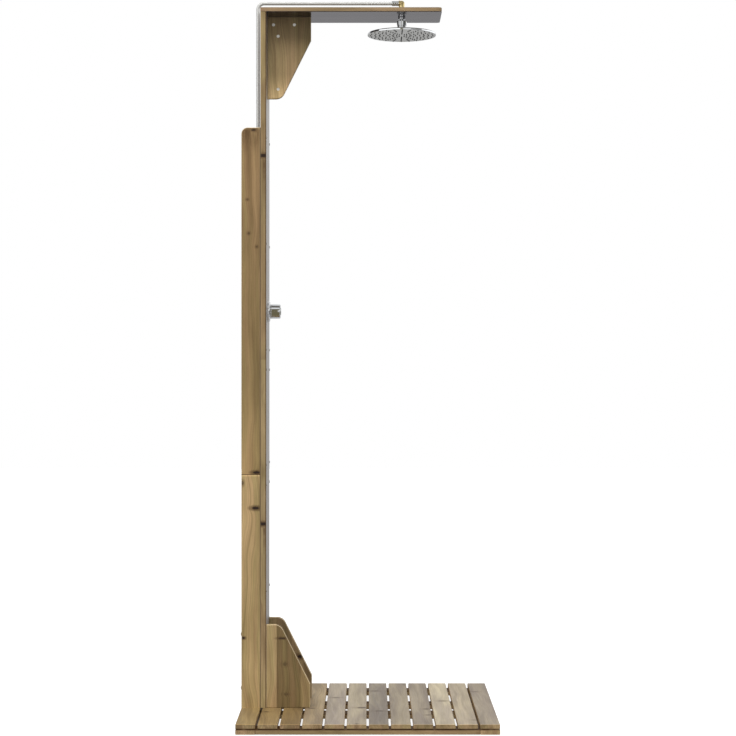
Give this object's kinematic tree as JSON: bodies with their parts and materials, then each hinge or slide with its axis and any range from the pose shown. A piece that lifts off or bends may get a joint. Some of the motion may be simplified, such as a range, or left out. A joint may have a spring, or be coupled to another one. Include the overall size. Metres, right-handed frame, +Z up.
{
  "type": "outdoor shower",
  "caption": "Free-standing outdoor shower: slatted wooden platform, boxed wooden post with metal facing, rotary valve and a round rain head on a ball joint under an arm board",
  "frame": {"origin": "on the ground under the middle of the platform", "axes": "+X from the post towards the free end of the arm, +Y across the post away from the camera in the picture, +Z up"},
  "size_m": [0.8025, 0.71, 2.2885],
  "materials": {
    "deck_wood": "weathered, oiled, sawn grain",
    "post_wood": "oiled, planed grain with knots",
    "facing_steel": "satin sheet",
    "bolt_steel": "satin stainless",
    "valve_brass": "machined",
    "polished_chrome": "mirror polished",
    "hose_braid": "fine stainless braid",
    "ceramic_plastic": "moulded acetal",
    "dark_plastic": "fine moulded texture",
    "nozzle_silicone": "soft matt silicone"
  },
  "bodies": {
    "stand": {"deck_slat_01": "deck_wood", "deck_slat_02": "deck_wood", "deck_slat_03": "deck_wood", "deck_slat_04": "deck_wood", "deck_slat_05": "deck_wood", "deck_slat_06": "deck_wood", "deck_slat_07": "deck_wood", "deck_slat_08": "deck_wood", "deck_slat_09": "deck_wood", "deck_slat_10": "deck_wood", "deck_slat_11": "deck_wood", "deck_slat_12": "deck_wood", "end_bearer_rear": "deck_wood", "end_bearer_front": "deck_wood", "long_bearer_near": "deck_wood", "long_bearer_mid_near": "deck_wood", "long_bearer_mid_far": "deck_wood", "long_bearer_far": "deck_wood", "front_board_lower": "post_wood", "front_board_upper": "post_wood", "side_board_near_lower": "post_wood", "side_board_near_upper": "post_wood", "side_board_far_lower": "post_wood", "side_board_far_upper": "post_wood", "arm_board": "post_wood", "arm_gusset": "post_wood", "base_gusset_near": "post_wood", "base_gusset_far": "post_wood", "post_facing_lower": "facing_steel", "post_facing_upper": "facing_steel", "arm_facing": "facing_steel", "arm_bolts": "bolt_steel", "post_bolts": "bolt_steel", "base_cross_bolts": "bolt_steel", "base_deck_bolts": "bolt_steel", "barrel_nuts": "bolt_steel", "panel_screws": "bolt_steel", "hose_ferrules": "bolt_steel", "hose_union_nut": "bolt_steel", "valve_body": "valve_brass", "valve_lock_nut": "valve_brass", "brass_elbow": "valve_brass", "escutcheon": "polished_chrome", "ball_stud": "polished_chrome", "riser_hose": "hose_braid", "valve_cartridge": "ceramic_plastic", "hose_clips": "dark_plastic", "inlet_connector": "dark_plastic"},
    "knob": {"valve_knob": "polished_chrome", "knob_cap": "polished_chrome", "knob_screw": "bolt_steel", "valve_spindle": "valve_brass"},
    "upper_liner": {"swivel_ring": "ceramic_plastic"},
    "lower_liner": {"ball_seat": "ceramic_plastic"},
    "head": {"swivel_nut": "polished_chrome", "head_back": "polished_chrome", "head_face": "polished_chrome", "head_nozzles": "nozzle_silicone"}
  },
  "joints": [
    {"name": "knob_turn", "type": "hinge", "parent": "stand", "child": "knob", "pos_m": [-0.3, 0, 1.289], "axis": [1, 0, 0], "range_deg": [0, 90]},
    {"name": "head_spin", "type": "hinge", "parent": "stand", "child": "upper_liner", "pos_m": [0.1095, 0, 2.214], "axis": [0, 0, 1], "continuous": true},
    {"name": "head_tilt_y", "type": "hinge", "parent": "upper_liner", "child": "lower_liner", "pos_m": [0.1095, 0, 2.214], "axis": [0, 1, 0], "range_deg": [-15, 15]},
    {"name": "head_tilt_x", "type": "hinge", "parent": "lower_liner", "child": "head", "pos_m": [0.1095, 0, 2.214], "axis": [1, 0, 0], "range_deg": [-15, 15]}
  ]
}
